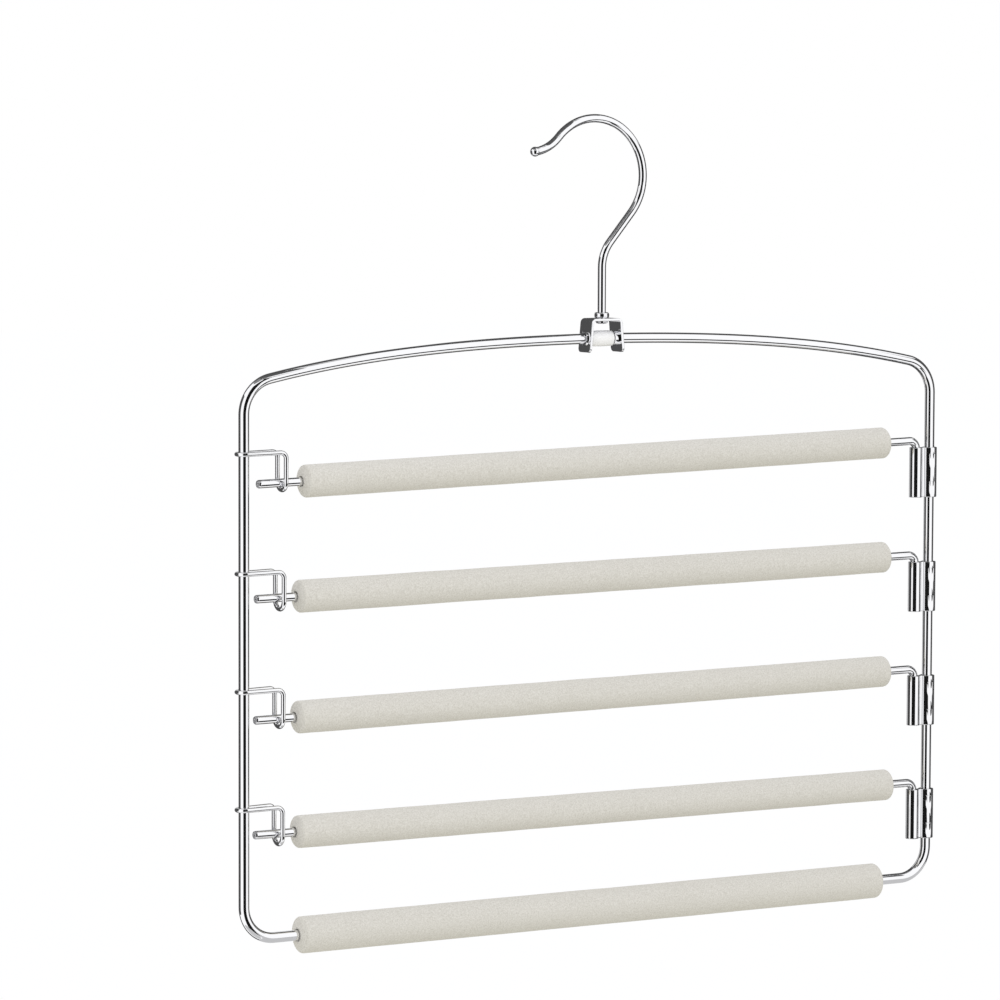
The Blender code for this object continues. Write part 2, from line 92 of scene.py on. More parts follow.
SEAM_SIDE = math.radians(197)
SEAM_GAP = 0.0004
CRIMP_HEIGHT = 0.0073
CRIMP_FLAT = (math.radians(257), math.radians(24))
CATCH_WIRE = 0.0022
STUB_GAP = 0.0011
CATCH_REACH = (0.0200, 0.0189, 0.0185, 0.0182)
CATCH_HANG = (0.0003, 0.0023, 0.0007, 0.0019)
CATCH_DEPTH = 0.0177
CATCH_RISE = 0.0004
CATCH_BEND = 0.0028
ARM_FOAM_WALL = 0.00575
FRAME_FOAM_WALL = 0.00625
SLEEVE_TO_PIN = (0.0206, 0.0197, 0.0193, 0.0171)
SLEEVE_TO_CATCH = (0.0120, 0.0102, 0.0100, 0.0103)
SLEEVE_TO_CORNERS = (0.0146, 0.0162)

# Finer shapes than the CAD's: steps, sides and gaps
ARC_STEP = math.radians(4)
FEWEST_ARC_STEPS = 4
LONG_RUN = 4
ARCH_STEPS = 90
SLOPE_ROUNDS = 20
WIRE_SIDES = 36
CATCH_SIDES = 24
RING_SIDES = 64
SHANK_HOLE_SIDES = 40
WIRE_HOLE_SIDES = 48
BALL_STEPS = 18
COLLAR_STEPS = 14
SADDLE_FOOT_STEPS = 8
SADDLE_BEND_STEPS = 12
BUSH_EDGE_STEPS = 6
CLIP_EDGE_STEPS = 4
FOAM_SIDES = 80
FOAM_STEP = 0.0040
FOAM_END_STEPS = 12
FOAM_FACE_STEPS = 8
SHARP = math.radians(35)
SHEET_SHARP = math.radians(14)
FOAM_SHARP = math.radians(60)
WELD_DISTANCE = 1e-6
CUT_DISTANCE = 1e-7
POINT_GAP = GAP / 10
SEAT_GAP = GAP / 3
SKIN_TOLERANCE = GAP / 3
SHORTEST_NORMAL = 0.1

# Finer shapes than the CAD's: wire ends
BALL_POLE = math.radians(87)
RIVET_RINGS = ((0.02, 0.98), (0.12, 1.0), (0.45, 1.0), (0.72, 0.94), (0.9, 0.78), (1.0, 0.5))
ROD_CUT = ((0.00035, 0.16), (0.0002, 0.30), (0, 0.44), (0, 0.72), (0.0001, 0.86), (0.0004, 0.96), (0.0009, 1.0))
PIN_CUT = ((0, 0.5), (0, 0.8), (0.0002, 0.94), (0.0006, 1.0))
PIN_SLIMMING = 0.994
CUT_SHARE = 0.95
CATCH_SINK = 0.0004

# Finer shapes than the CAD's: collar, saddle, bush and clips
COLLAR_CHAMFER = 0.04
COLLAR_FACE = 0.34
COLLAR_HEIGHT_POWER = 0.8
COLLAR_WALL_POWER = 0.75
SHEET_EDGE = 0.0002
SHEET_EDGE_STEPS = 2
RIM_ROUND = 0.0001
RIM_INSIDE = ((0, 1), (0.82, 1), (0.95, 2.5), (1, 4.5))
RIM_OUTSIDE = ((0.96, -2.5), (0.85, -1), (0.62, 1), (0, 4))
INNER_RIM_RISE = 0.0020
INNER_RIM_CURL = 0.0003
BUSH_EDGE = 0.0008
BUSH_CROWN = 0.00012
BUSH_CROWN_SHARES = (-0.6, -0.3, 0)
CLIP_EDGE = 0.0003
CRIMP_RAMP = 0.0002
CRIMP_FADE = 0.0026
CRIMP_TO_TOP = 0.0032
CRIMP_TO_BOTTOM = 0.0007
CRIMP_SLOPE = ((0, 0), (0.25, 0.15), (0.5, 0.5), (0.75, 0.85), (1, 1))
WRAP_FLAT = (math.radians(227), math.radians(16))
BARREL_FLAT = (math.radians(236), math.radians(14))

# Finer shapes than the CAD's: foam
FOAM_END_ROUND = 0.0012
FOAM_BULGE = 0.0022
FOAM_MOUTH = 0.0004
FOAM_MOUTH_DEPTH = 0.0015
FOAM_MOUTH_SHARE = 0.6
FOAM_LIP = 0.0002
FOAM_WAVE = 0.00012
FOAM_WAVES_ALONG = 45
FOAM_WAVES_ROUND = 0.8
FOAM_GRAIN = 0.00003
FOAM_GRAINS = 1400
FOAM_SHIFT = 40

# Finishes: colours, ranges of roughness, patches in a metre, and bumps as strength and height
DRAWN_LIGHT = (0.91, 0.91, 0.925, 1)
DRAWN_DARK = (0.86, 0.865, 0.885, 1)
DRAWN_ROUGH = (0.018, 0.038)
ROLLED_LIGHT = (0.90, 0.90, 0.915, 1)
ROLLED_DARK = (0.85, 0.855, 0.875, 1)
ROLLED_ROUGH = (0.025, 0.050)
CHROME_LINES = (40, 60, 1)
CHROME_CLOUDS = 70
CHROME_HAZE = 260
CHROME_RIPPLES = 900
CHROME_LINE_BUMP = (0.003, 0.00002)
CHROME_RIPPLE_BUMP = (0.002, 0.00002)
CUT_ROUGH = 0.6
# Foam's painted shade and painted light: the two ends of its fine random mottle
FOAM_SHADED = (0.600, 0.579, 0.535, 1)
FOAM_LIT = (0.803, 0.786, 0.750, 1)
FOAM_CLOUDS = 45
FOAM_CLOUD_DARK = (0.97, 0.97, 0.965, 1)
FOAM_MOTTLES = 1500
FOAM_PORES = 1150
FOAM_PORE_EDGE = (0.10, 0.34)
# Painted shade inside the foam's pores: its colour, and how much of it shows, a little more where the sleeve was cut
FOAM_PORE_SHADE_COLOUR = (0.42, 0.40, 0.34, 1)
FOAM_PORE_SHADE_SHARE = 0.16
FOAM_CUT_PORE_SHADE_SHARE = 0.18
FOAM_ROUGH = (0.82, 0.95)
FOAM_SHINE = 0.15
FOAM_MOTTLE_BUMP = (0.35, 0.00015)
FOAM_PORE_BUMP = (0.25, 0.0001)
NYLON_DARK = (0.955, 0.957, 0.98, 1)
NYLON_LIGHT = (0.97, 0.972, 0.995, 1)
NYLON_ROUGH = (0.28, 0.42)
NYLON_CLOUDS = 300
NYLON_GRAINS = 900
NYLON_BUMP = (0.02, 0.00003)
NOISE_MIDDLE = (0.3, 0.7)

# Places that follow from the sizes
FRONT_TO_BACK = Vector((0, 1, 0))
TIERS = len(ARM_DROP)
SHANK_X = BOWL_SIDE_STEP
BOWL_Z = HOOK_WIRE / 2 - BOWL_RADIUS
NECK_FALL = (BOWL_RADIUS * math.cos(NECK_LEAN) - SHANK_X) / math.tan(NECK_LEAN)
NECK_Z = BOWL_Z - BOWL_RADIUS * math.sin(NECK_LEAN) - NECK_FALL
SADDLE_TOP_Z = NECK_Z - NECK_RADIUS * math.tan(NECK_LEAN / 2) - SHANK_RUN
CROWN_Z = SADDLE_TOP_Z - SADDLE_TO_WIRE
PIN_BORE = ARM_WIRE / 2 + GAP
ELBOW_INSIDE = ELBOW_RADIUS - ARM_WIRE / 2
RIM_CLEAR = ELBOW_INSIDE - GAP * RIM_GAP_SHARE
ELBOW_RISE = ELBOW_RADIUS - math.sqrt(RIM_CLEAR ** 2 - (ELBOW_INSIDE - GAP) ** 2)
LAST_TIER_RISE = BOTTOM_RADIUS + CLIP_TO_CORNER + CLIP_HEIGHT + ELBOW_RISE
BOTTOM_Z = CROWN_Z - FIRST_TIER_DROP - (TIERS - 1) * TIER_PITCH - LAST_TIER_RISE
LEFT_X = SHANK_X - FRAME_WIDTH / 2
RIGHT_X = SHANK_X + FRAME_WIDTH / 2
CATCH_HALF = ARM_WIRE / 2 + STUB_GAP + CATCH_WIRE / 2
WELD_HALF = FRAME_WIRE / 2 + CATCH_WIRE / 2 - CATCH_SINK
BARREL_RADIUS = PIN_BORE + CLIP_SHEET / 2
WRAP_RADIUS = FRAME_WIRE / 2 + GAP + CLIP_SHEET / 2
WEB_OFFSET = (CLIP_SHEET + GAP) / 2


def valley_run(radius):
    """How far from a rolled barrel's axis its fillet meets the flat web."""
    return math.sqrt((radius + CLIP_BEND) ** 2 - (WEB_OFFSET + CLIP_BEND) ** 2)


PIN_TO_UPRIGHT = valley_run(BARREL_RADIUS) + CLIP_WEB + valley_run(WRAP_RADIUS)
PIN_X = RIGHT_X - PIN_TO_UPRIGHT

# Camera, solved from the straight lines of the photographed frame
YAW = math.radians(-31.224)
PITCH = math.radians(-4.580)
ROLL = math.radians(-0.214)
CAMERA_PLACE = Vector((-1.28191, -2.02858, 0.01077))
LENS = 180
SENSOR = 36

# Studio
STUDIO_CENTRE = Vector((0, 0, -0.20))
CARD_REACH = 0.62
LINE_REACH = 1.60
DOME_REACH = 1.65
CORNER_REACH = 0.055
FLOOR_Z = -1.65
FLOOR_SIZE = 60
FLOOR_COLOUR = (0.77, 0.76, 0.69, 1)
FLOOR_GLOW = (0.76, 0.79, 1, 1)
FLOOR_GLOW_LEVEL = 0.35
CARD_STEPS = 24
HARD_EDGE = 1e-4
WORLD_LEVEL = 0.95
LAMP_POWER = 6.5
LAMP_SIZE = 1.4
LAMP_REACH = 2.0
LAMP_SIDE = Vector((-0.55, -0.75, 0.35))
WHITE = (1, 1, 1, 1)


def arc(centre, start, axis, angle):
    """Points from start, turned about an axis through centre by angle, both ends included."""
    spoke = Vector(start) - Vector(centre)
    steps = max(FEWEST_ARC_STEPS, math.ceil(abs(angle) / ARC_STEP))
    turned = []
    for step in range(steps + 1):
        turned.append(Vector(centre) + Matrix.Rotation(angle * step / steps, 3, axis) @ spoke)
    return turned


def rounded_path(corners, closed=False):
    """Straight runs between corners, each a point and the radius of the arc that rounds it."""
    path = []
    last = len(corners) - 1
    for number, (point, radius) in enumerate(corners):
        point = Vector(point)
        if not closed and number in (0, last):
            path.append(point)
            continue
        into = (point - Vector(corners[number - 1][0])).normalized()
        out = (Vector(corners[(number + 1) % len(corners)][0]) - point).normalized()
        turn = into.angle(out)
        start = point - into * radius * math.tan(turn / 2)
        inward = (out - into * into.dot(out)).normalized()
        path += arc(start + inward * radius, start, into.cross(out), turn)
    return path


def supported(path, swell, reach, closed):
    """The path with extra points near the ends of each long straight run, which keep its shading even."""
    points, shares = [], []
    for k, point in enumerate(path):
        points.append(point)
        shares.append(swell[k])
        if k == len(path) - 1 and not closed:
            break
        after = path[(k + 1) % len(path)]
        run = after - point
        if run.length > LONG_RUN * reach and swell[k] == swell[(k + 1) % len(path)]:
            points += [point + run.normalized() * reach, after - run.normalized() * reach]
            shares += [swell[k]] * 2
    return points, shares


def ring_frames(path, closed):
    """Each point's direction along the wire and a normal that turns as little as it can from ring to ring."""
    count = len(path)
    along = []
    for k in range(count):
        back = path[k - 1] if closed or k else path[0]
        ahead = path[(k + 1) % count] if closed or k < count - 1 else path[-1]
        into = (path[k] - back).normalized()
        out = (ahead - path[k]).normalized()
        along.append((into + out).normalized())
    normal = FRONT_TO_BACK - along[0] * along[0].dot(FRONT_TO_BACK)
    if normal.length < SHORTEST_NORMAL:
        normal = along[0].orthogonal()
    normals = [normal.normalized()]
    for k in range(1, count):
        normals.append((along[k - 1].rotation_difference(along[k]) @ normals[-1]).normalized())
    if closed:
        again = along[-1].rotation_difference(along[0]) @ normals[-1]
        slip = math.atan2(again.cross(normals[0]).dot(along[0]), again.dot(normals[0]))
        normals = [Matrix.Rotation(slip * k / count, 3, along[k]) @ normals[k] for k in range(count)]
    return along, normals


def sweep(name, path, diameter, closed=False, swell=None, start=(), end=(), sides=WIRE_SIDES):
    """A round wire along path as a mesh. UVs are turns round it and metres along it.

    start and end shape the two ends: rings of (distance in from the end, share of the radius), from the middle out.
    """
    radius = diameter / 2
    path, swell = supported(path, swell or [1] * len(path), radius, closed)
    along, normals = ring_frames(path, closed)
    travelled = [0]
    for one, two in zip(path, path[1:]):
        travelled.append(travelled[-1] + (two - one).length)
    rings = []
    for k, point in enumerate(path):
        rings.append((point, along[k], normals[k], swell[k], travelled[k], 0))
    if start:
        shaped = []
        for inset, share in start:
            place = path[0] + along[0] * inset
            shaped.append((place, along[0], normals[0], share, inset, int(share < CUT_SHARE)))
        rings = shaped + rings[1:]
    if end:
        shaped = []
        for inset, share in end:
            place = path[-1] - along[-1] * inset
            length = travelled[-1] - inset
            shaped.append((place, along[-1], normals[-1], share, length, int(share < CUT_SHARE)))
        rings = rings[:-1] + shaped[::-1]
    verts, cuts, faces, turns = [], [], [], []
    for point, ahead, normal, share, _, cut in rings:
        cuts += [cut] * sides
        side = ahead.cross(normal)
        for k in range(sides):
            angle = 2 * math.pi * k / sides
            verts.append(point + (normal * math.cos(angle) + side * math.sin(angle)) * radius * share)
    spans = len(rings) if closed else len(rings) - 1
    total = travelled[-1] + (path[0] - path[-1]).length
    for row in range(spans):
        after = (row + 1) % len(rings)
        lengths = (rings[row][4], rings[after][4] if after else total)
        for k in range(sides):
            one = row * sides + k
            two = row * sides + (k + 1) % sides
            three = after * sides + (k + 1) % sides
            four = after * sides + k
            faces.append((one, two, three, four))
            turns.append(((k, lengths[0]), (k + 1, lengths[0]), (k + 1, lengths[1]), (k, lengths[1])))
    if not closed:
        faces.append(tuple(range(sides))[::-1])
        turns.append([(k, 0) for k in range(sides)][::-1])
        base = (len(rings) - 1) * sides
        faces.append(tuple(range(base, base + sides)))
        turns.append([(k, total) for k in range(sides)])
    data = bpy.data.meshes.new(name)
    data.from_pydata(verts, [], faces)
    layer = data.uv_layers.new(name="UVMap")
    flat = [value for face in turns for turn, length in face for value in (turn / sides, length)]
    layer.data.foreach_set("uv", flat)
    data.attributes.new("cut", "FLOAT", "POINT").data.foreach_set("value", cuts)
    smooth(data, SHARP)
    return data


def smooth(data, sharp):
    """Smooth shading, parted where faces meet at more than the sharp angle."""
    data.shade_smooth()
    data.set_sharp_from_angle(angle=sharp)


def closed_mesh(bm, name, sharp=SHARP):
    """Turns a bmesh into mesh data whose faces point out."""
    bmesh.ops.recalc_face_normals(bm, faces=bm.faces)
    data = bpy.data.meshes.new(name)
    bm.to_mesh(data)
    bm.free()
    smooth(data, sharp)
    return data


def add_turned(bm, profile, axis, place, sides=RING_SIDES):
    """Adds a ring turned about axis from a closed profile of (distance along the axis, radius) points."""
    axis = Vector(axis)
    across = axis.orthogonal().normalized()
    side = axis.cross(across)
    rings = []
    for k in range(sides):
        angle = 2 * math.pi * k / sides
        spoke = across * math.cos(angle) + side * math.sin(angle)
        rings.append([bm.verts.new(Vector(place) + axis * along + spoke * radius) for along, radius in profile])
    for k in range(sides):
        for row in range(len(profile)):
            bm.faces.new((rings[k - 1][row - 1], rings[k - 1][row], rings[k][row], rings[k][row - 1]))


def show(name, data, material, body, slot, *nodes):
    """Shows a mesh as a piece that rides on a body and stands for CAD nodes."""
    data.materials.append(material)
    made = bpy.data.objects.new(name, data)
    bpy.context.scene.collection.objects.link(made)
    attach(made, body)
    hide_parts(*nodes)
    return made


def new_material(name):
    """An empty node material with its nodes and links."""
    material = bpy.data.materials.new(name)
    material.use_nodes = True
    return material, material.node_tree.nodes, material.node_tree.links


def noise_node(nodes, links, coordinates, scale, detail, roughness=0.5):
    """Noise of so many patches in a metre, from 0 to 1."""
    made = nodes.new("ShaderNodeTexNoise")
    made.inputs["Scale"].default_value = scale
    made.inputs["Detail"].default_value = detail
    made.inputs["Roughness"].default_value = roughness
    links.new(coordinates, made.inputs["Vector"])
    return made.outputs["Fac"]


def map_range(nodes, links, value, low, high, to_low, to_high):
    """A value moved from one range to another and held inside it."""
    made = nodes.new("ShaderNodeMapRange")
    made.inputs["From Min"].default_value = low
    made.inputs["From Max"].default_value = high
    made.inputs["To Min"].default_value = to_low
    made.inputs["To Max"].default_value = to_high
    links.new(value, made.inputs["Value"])
    return made.outputs["Result"]


def feed(links, entry, value):
    """Gives a node's input its value: another node's output, a number or a colour."""
    if isinstance(value, bpy.types.NodeSocket):
        links.new(value, entry)
    else:
        entry.default_value = value


def calculate(nodes, links, operation, *values):
    """The result of one operation on outputs and numbers."""
    made = nodes.new("ShaderNodeMath")
    made.operation = operation
    for entry, value in zip(made.inputs, values):
        feed(links, entry, value)
    return made.outputs[0]


def mix_colour(nodes, links, share, one, two, blend="MIX"):
    """Colour one where share is 0, two blended with it where share is 1."""
    made = nodes.new("ShaderNodeMix")
    made.data_type = "RGBA"
    made.blend_type = blend
    feed(links, made.inputs["Factor"], share)
    feed(links, made.inputs["A"], one)
    feed(links, made.inputs["B"], two)
    return made.outputs["Result"]


def cut_share(nodes):
    """How far a mesh says that it was cut at a place, from 0 to 1."""
    made = nodes.new("ShaderNodeAttribute")
    made.attribute_name = "cut"
    return made.outputs["Fac"]


def bump(nodes, links, height, strength, distance, before=None):
    """A normal tilted by a height, on top of an earlier normal if one is given."""
    made = nodes.new("ShaderNodeBump")
    made.inputs["Strength"].default_value = strength
    made.inputs["Distance"].default_value = distance
    links.new(height, made.inputs["Height"])
    if before:
        links.new(before, made.inputs["Normal"])
    return made.outputs["Normal"]


def make_chrome(name, light, dark, rough_span):
    """Bright chrome with a faint uneven polish and drawing lines or rolling marks along it, dull where cut."""
    material, nodes, links = new_material(name)
    shader = nodes["Principled BSDF"]
    shader.inputs["Metallic"].default_value = 1
    place = nodes.new("ShaderNodeTexCoord")
    cloud = noise_node(nodes, links, place.outputs["Object"], CHROME_CLOUDS, detail=3)
    links.new(mix_colour(nodes, links, cloud, dark, light), shader.inputs["Base Color"])
    haze = noise_node(nodes, links, place.outputs["Object"], CHROME_HAZE, detail=4, roughness=0.6)
    rough = map_range(nodes, links, haze, *NOISE_MIDDLE, *rough_span)
    dulled = calculate(nodes, links, "MULTIPLY_ADD", cut_share(nodes), CUT_ROUGH, rough)
    links.new(dulled, shader.inputs["Roughness"])
    lines = nodes.new("ShaderNodeMapping")
    lines.inputs["Scale"].default_value = CHROME_LINES
    links.new(place.outputs["UV"], lines.inputs["Vector"])
    drawn = noise_node(nodes, links, lines.outputs["Vector"], 1, detail=2)
    ripple = noise_node(nodes, links, place.outputs["Object"], CHROME_RIPPLES, detail=2)
    first = bump(nodes, links, drawn, *CHROME_LINE_BUMP)
    links.new(bump(nodes, links, ripple, *CHROME_RIPPLE_BUMP, first), shader.inputs["Normal"])
    return material


def make_foam():
    """Pale closed-cell foam: a fine random mottle of painted light and shade, and fine pores filled with painted
    shade, a little deeper where the sleeve was cut open.
    """
    material, nodes, links = new_material("foam_pale")
    shader = nodes["Principled BSDF"]
    shader.inputs["Specular IOR Level"].default_value = FOAM_SHINE
    place = nodes.new("ShaderNodeTexCoord").outputs["Object"]
    # Painted light and shade: a fine random mottle between the shaded and the lit foam colour
    mottle = noise_node(nodes, links, place, FOAM_MOTTLES, detail=3, roughness=0.65)
    cloud = noise_node(nodes, links, place, FOAM_CLOUDS, detail=2)
    spread = map_range(nodes, links, mottle, *NOISE_MIDDLE, 0, 1)
    fine = mix_colour(nodes, links, spread, FOAM_SHADED, FOAM_LIT)
    tone = mix_colour(nodes, links, cloud, FOAM_CLOUD_DARK, WHITE)
    # Painted shade inside the pores: dark dots, a little darker where the sleeve was cut open
    cells = nodes.new("ShaderNodeTexVoronoi")
    cells.inputs["Scale"].default_value = FOAM_PORES
    links.new(place, cells.inputs["Vector"])
    pores = map_range(nodes, links, cells.outputs["Distance"], *FOAM_PORE_EDGE, 0, 1)
    pore_shade_mask = calculate(nodes, links, "SUBTRACT", 1, pores)
    depth = map_range(nodes, links, cut_share(nodes), 0, 1, FOAM_PORE_SHADE_SHARE, FOAM_CUT_PORE_SHADE_SHARE)
    dark = calculate(nodes, links, "MULTIPLY", pore_shade_mask, depth)
    toned = mix_colour(nodes, links, 1, fine, tone, "MULTIPLY")
    links.new(mix_colour(nodes, links, dark, toned, FOAM_PORE_SHADE_COLOUR), shader.inputs["Base Color"])
    rough = map_range(nodes, links, mottle, *NOISE_MIDDLE, *FOAM_ROUGH)
    links.new(rough, shader.inputs["Roughness"])
    first = bump(nodes, links, mottle, *FOAM_MOTTLE_BUMP)
    links.new(bump(nodes, links, pores, *FOAM_PORE_BUMP, first), shader.inputs["Normal"])
    return material


def make_nylon():
    """White moulded nylon with a faint satin unevenness."""
    material, nodes, links = new_material("nylon_white")
    shader = nodes["Principled BSDF"]
    place = nodes.new("ShaderNodeTexCoord").outputs["Object"]
    cloud = noise_node(nodes, links, place, NYLON_CLOUDS, detail=3)
    links.new(mix_colour(nodes, links, cloud, NYLON_DARK, NYLON_LIGHT), shader.inputs["Base Color"])
    links.new(map_range(nodes, links, cloud, *NOISE_MIDDLE, *NYLON_ROUGH), shader.inputs["Roughness"])
    grain = noise_node(nodes, links, place, NYLON_GRAINS, detail=2)
    links.new(bump(nodes, links, grain, *NYLON_BUMP), shader.inputs["Normal"])
    return material


def make_hook(chrome):
    """The hook's wire from its ball tip to its riveted end, and the collar on its shank."""
    radius = HOOK_WIRE / 2
    bowl = Vector((0, 0, BOWL_Z))
    outward = Vector((math.cos(BOWL_END_ANGLE), 0, math.sin(BOWL_END_ANGLE)))
    bowl_end = bowl + outward * BOWL_RADIUS
    tip_centre = bowl_end + outward * TIP_RADIUS
    tip = arc(tip_centre, bowl_end, FRONT_TO_BACK, TIP_TURN)
    ball = tip[-1]
    tip_line = FRONT_TO_BACK.cross(ball - tip_centre).normalized()
    ball_radius = radius + TIP_SWELL / 2
    low = -math.acos(radius / ball_radius)
    path, swell = [], []
    for step in range(BALL_STEPS + 1):
        angle = BALL_POLE + (low - BALL_POLE) * step / BALL_STEPS
        path.append(ball + tip_line * ball_radius * math.sin(angle))
        swell.append(ball_radius * math.cos(angle) / radius)
    bent = tip[-2::-1] + arc(bowl, bowl_end, FRONT_TO_BACK, BOWL_END_ANGLE + NECK_LEAN)[1:]
    rivet_top = SADDLE_TOP_Z - SADDLE_SHEET - SEAT_GAP
    bent += rounded_path([(bent[-1], 0), ((SHANK_X, 0, NECK_Z), NECK_RADIUS), ((SHANK_X, 0, rivet_top), 0)])[1:]
    path += bent
    swell += [1] * len(bent)
    head = 1 + RIVET_LIP / radius
    for depth, size in RIVET_RINGS:
        path.append(Vector((SHANK_X, 0, rivet_top - RIVET_HEIGHT * depth)))
        swell.append(head * size)
    show("hook_wire", sweep("hook_wire", path, HOOK_WIRE, swell=swell), chrome, "hook", "chrome_wire", "hook")
    bore = radius + SEAT_GAP
    profile = [(COLLAR_HEIGHT * COLLAR_CHAMFER, bore)]
    for step in range(COLLAR_STEPS + 1):
        angle = math.pi * (step / COLLAR_STEPS - 0.5)
        rise = math.copysign(abs(math.sin(angle)) ** COLLAR_HEIGHT_POWER, math.sin(angle))
        wall = COLLAR_FACE + (1 - COLLAR_FACE) * math.cos(angle) ** COLLAR_WALL_POWER
        profile.append((COLLAR_HEIGHT / 2 * (1 + rise), bore + COLLAR_WALL * wall))
    profile.append((COLLAR_HEIGHT * (1 - COLLAR_CHAMFER), bore))
    bm = bmesh.new()
    add_turned(bm, profile, (0, 0, 1), (SHANK_X, 0, SADDLE_TOP_Z + SEAT_GAP))
    show("collar", closed_mesh(bm, "collar"), chrome, "hook", "chrome_wire", "hook_collar")


def circle(centre, radius, count):
    """Points round a circle in the flat pattern of a sheet."""
    points = []
    for k in range(count):
        angle = 2 * math.pi * k / count
        points.append((centre + radius * math.cos(angle), radius * math.sin(angle)))
    return points


def flat_sheet(name, outlines, thickness, edge):
    """A flat sheet cut to outlines, the later ones holes, with its edges rounded over."""
    curve = bpy.data.curves.new(name, "CURVE")
    curve.dimensions = "2D"
    curve.fill_mode = "BOTH"
    curve.extrude = thickness / 2 - edge
    curve.bevel_depth = edge
    curve.bevel_resolution = SHEET_EDGE_STEPS
    curve.offset = -edge
    for outline in outlines:
        spline = curve.splines.new("POLY")
        spline.points.add(len(outline) - 1)
        for point, (along, across) in zip(spline.points, outline):
            point.co = (along, across, 0, 1)
        spline.use_cyclic_u = True
    flat = bpy.data.objects.new(name, curve)
    bpy.context.scene.collection.objects.link(flat)
    shaped = flat.evaluated_get(bpy.context.evaluated_depsgraph_get())
    data = bpy.data.meshes.new_from_object(shaped)
    bpy.data.objects.remove(flat)
    bm = bmesh.new()
    bm.from_mesh(data)
    bpy.data.meshes.remove(data)
    bmesh.ops.remove_doubles(bm, verts=bm.verts, dist=WELD_DISTANCE)
    return bm


def make_saddle(chrome):
    """The bent strip with its rimmed holes and the rolled rim inside its right leg.

    Returns how far from its middle the legs stand clear of the bush.
    """
    half_top = (SADDLE_TOP_WIDTH - SADDLE_SHEET) / 2
    half_foot = (SADDLE_FOOT_WIDTH - SADDLE_SHEET) / 2
    top = -SADDLE_SHEET / 2
    drop = SADDLE_HEIGHT + top
    turn = math.atan2(drop, half_foot - half_top)
    tangent = SADDLE_BEND * math.tan(turn / 2)
    flat = half_top - tangent
    bend = SADDLE_BEND * turn
    half_length = flat + bend + math.hypot(drop, half_foot - half_top) - tangent
    bend_end_z = top - SADDLE_BEND * (1 - math.cos(turn))
    wire_at = flat + bend + (bend_end_z + SADDLE_TO_WIRE) / math.sin(turn)
    wire_hole = FRAME_WIRE / 2 + GAP
    outline = []
    for corner in range(4):
        side = 1 if corner in (0, 3) else -1
        edge = 1 if corner < 2 else -1
        middle = (side * (half_length - SADDLE_FOOT_ROUND), edge * (SADDLE_DEPTH / 2 - SADDLE_FOOT_ROUND))
        for step in range(SADDLE_FOOT_STEPS + 1):
            angle = math.pi / 2 * (corner + step / SADDLE_FOOT_STEPS)
            outline.append((middle[0] + SADDLE_FOOT_ROUND * math.cos(angle),
                            middle[1] + SADDLE_FOOT_ROUND * math.sin(angle)))
    holes = [circle(0, HOOK_WIRE / 2 + GAP, SHANK_HOLE_SIDES)]
    holes += [circle(place, wire_hole, WIRE_HOLE_SIDES) for place in (-wire_at, wire_at)]
    bm = flat_sheet("saddle_strip", [outline] + holes, SADDLE_SHEET, SHEET_EDGE)
    cuts = [flat - SHEET_EDGE, flat + bend + SHEET_EDGE]
    cuts += [flat + bend * step / SADDLE_BEND_STEPS for step in range(SADDLE_BEND_STEPS + 1)]
    for side in (-1, 1):
        for cut in cuts:
            bmesh.ops.bisect_plane(bm, geom=bm.verts[:] + bm.edges[:] + bm.faces[:], dist=CUT_DISTANCE,
                                   plane_co=(side * cut, 0, 0), plane_no=(1, 0, 0))
    for vert in bm.verts:
        along, across, lift = vert.co
        side = math.copysign(1, along)
        along = abs(along)
        angle = min(max((along - flat) / SADDLE_BEND, 0), turn)
        normal = Vector((math.sin(angle), math.cos(angle)))
        middle = Vector((min(along, flat), top - SADDLE_BEND)) + normal * SADDLE_BEND
        middle += Vector((normal.y, -normal.x)) * max(along - flat - bend, 0)
        middle += normal * lift
        vert.co = (SHANK_X + side * middle.x, across, SADDLE_TOP_Z + middle.y)
    slope = (half_foot - half_top) / drop
    at_wire = half_top + slope * SADDLE_TO_WIRE
    rim = wire_hole + HOLE_RIM_WIDTH
    rise = SADDLE_SHEET / 2 + HOLE_RIM_RISE + slope * rim
    inside = wire_hole + RIM_ROUND
    profile = [(rise * share, wire_hole + rounds * RIM_ROUND) for share, rounds in RIM_INSIDE]
    profile += [(rise * share, rim + rounds * RIM_ROUND) for share, rounds in RIM_OUTSIDE]
    bush = wire_hole + BUSH_WALL
    half_inside = at_wire - SADDLE_SHEET / 2 - slope * bush
    rim_face = half_inside - INNER_RIM_RISE
    curl = INNER_RIM_CURL
    inner_rim = [(at_wire, inside), (rim_face, inside), (rim_face, bush - 2 * curl),
                 (rim_face + curl / 3, bush - curl), (rim_face + curl, bush - curl / 3), (at_wire, bush)]
    add_turned(bm, inner_rim, (1, 0, 0), (SHANK_X, 0, CROWN_Z))
    for side in (-1, 1):
        add_turned(bm, profile, (side, 0, 0), (SHANK_X + side * at_wire, 0, CROWN_Z))
    show("saddle_strip", closed_mesh(bm, "saddle_strip", SHEET_SHARP), chrome, "saddle", "chrome_sheet", "saddle")
    return half_inside


